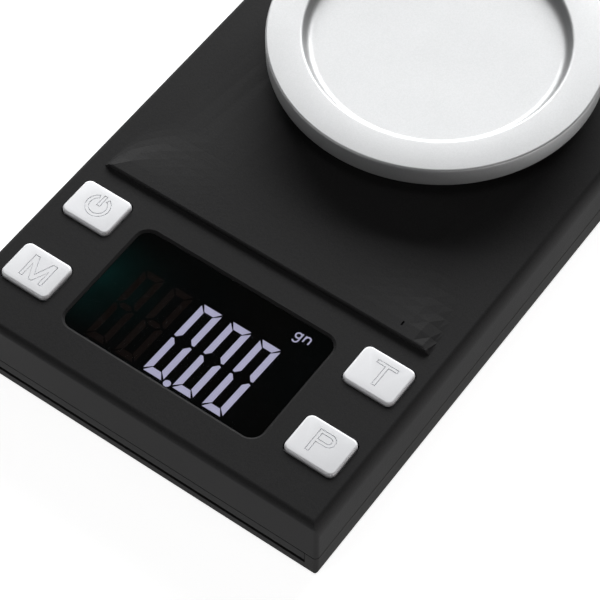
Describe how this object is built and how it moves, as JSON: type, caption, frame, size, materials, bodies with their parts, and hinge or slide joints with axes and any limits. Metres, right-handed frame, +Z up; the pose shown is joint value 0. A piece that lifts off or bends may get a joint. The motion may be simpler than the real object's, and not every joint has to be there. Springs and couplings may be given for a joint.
{
  "type": "digital gram scale",
  "caption": "Flat pocket scale with a black two-part case, a dark display, silver keys and a round shallow platter that lifts off its load cell.",
  "frame": {"origin": "centre of the footprint, on the surface that the feet stand on", "axes": "+X to the right of the display, +Y from the display end to the platter end, +Z up"},
  "size_m": [0.0764, 0.13, 0.0242],
  "materials": {
    "case_plastic": "black ABS with a fine spark texture",
    "case_plastic_lower": "black ABS with a fine spark texture",
    "door_plastic": "black ABS with a fine spark texture",
    "carrier_plastic": "black glass-filled plastic",
    "foot_rubber": "moulded rubber",
    "screw_steel": "zinc plated",
    "window": "clear polished acrylic, smoked",
    "lcd": "negative display glass with a black ground",
    "white_plastic": "plain",
    "light_guide": "frosted",
    "led": "moulded",
    "elastomer": "silicone",
    "board": "green solder mask on glass-epoxy",
    "chip": "black epoxy",
    "passives": "fired, tinned ends",
    "switch_plastic": "plain",
    "key_silver": "satin silver paint",
    "beam_aluminium": "machined",
    "gauge_foil": "etched foil on polyimide",
    "sealant": "silicone",
    "spacer_steel": "blanked",
    "platter_metal": "satin, bead blasted",
    "cell_jacket": "plain printed-free jacket",
    "contact_nickel": "nickel plated",
    "lead_red": "insulated wire",
    "lead_black": "insulated wire",
    "lead_grey": "sheathed cable"
  },
  "bodies": {
    "case": {"upper_housing": "case_plastic", "lower_housing": "case_plastic_lower", "foot_front_left": "foot_rubber", "foot_front_right": "foot_rubber", "foot_rear_left": "foot_rubber", "foot_rear_right": "foot_rubber", "housing_screws": "screw_steel", "display_window": "window", "lcd_glass": "lcd", "lcd_frame": "white_plastic", "backlight_guide": "light_guide", "backlight_leds": "led", "zebra_strips": "elastomer", "main_board": "board", "controller_chip": "chip", "converter_chip": "chip", "board_passives": "passives", "lead_connectors": "white_plastic", "board_screws": "screw_steel", "switch_power": "switch_plastic", "switch_mode": "switch_plastic", "switch_tare": "switch_plastic", "switch_count": "switch_plastic", "load_cell": "beam_aluminium", "strain_gauges": "gauge_foil", "gauge_sealant": "sealant", "load_cell_spacer": "spacer_steel", "load_cell_screws": "screw_steel", "overload_screw": "screw_steel", "battery_front": "cell_jacket", "battery_rear": "cell_jacket", "battery_springs": "contact_nickel", "contact_bridge": "contact_nickel", "contact_positive": "contact_nickel", "contact_negative": "contact_nickel", "lead_positive": "lead_red", "lead_negative": "lead_black", "load_cell_cable": "lead_grey"},
    "power_key": {"key_power": "key_silver", "plunger_power": "switch_plastic"},
    "mode_key": {"key_mode": "key_silver", "plunger_mode": "switch_plastic"},
    "tare_key": {"key_tare": "key_silver", "plunger_tare": "switch_plastic"},
    "count_key": {"key_count": "key_silver", "plunger_count": "switch_plastic"},
    "door": {"battery_door": "door_plastic"},
    "pan": {"pan_carrier": "carrier_plastic", "carrier_screws": "screw_steel", "pan_pads": "sealant"},
    "tray": {"platter": "platter_metal"}
  },
  "joints": [
    {"name": "power_press", "type": "slide", "parent": "case", "child": "power_key", "axis": [0, 0, -1], "range_m": [0, 0.0004], "stiffness_N_per_m": 4500, "springref_m": -0.0001},
    {"name": "mode_press", "type": "slide", "parent": "case", "child": "mode_key", "axis": [0, 0, -1], "range_m": [0, 0.0004], "stiffness_N_per_m": 4500, "springref_m": -0.0001},
    {"name": "tare_press", "type": "slide", "parent": "case", "child": "tare_key", "axis": [0, 0, -1], "range_m": [0, 0.0004], "stiffness_N_per_m": 4500, "springref_m": -0.0001},
    {"name": "count_press", "type": "slide", "parent": "case", "child": "count_key", "axis": [0, 0, -1], "range_m": [0, 0.0004], "stiffness_N_per_m": 4500, "springref_m": -0.0001},
    {"name": "pan_load", "type": "slide", "parent": "case", "child": "pan", "axis": [0, 0, -1], "range_m": [0, 0.0003], "stiffness_N_per_m": 9000, "springref_m": -0.00006, "deforming": ["load_cell"]},
    {"name": "tray_lift", "type": "slide", "parent": "pan", "child": "tray", "axis": [0, 0, 1], "range_m": [0, 0.03]},
    {"name": "door_slide", "type": "slide", "parent": "case", "child": "door", "axis": [0, 1, 0], "range_m": [0, 0.026]}
  ]
}
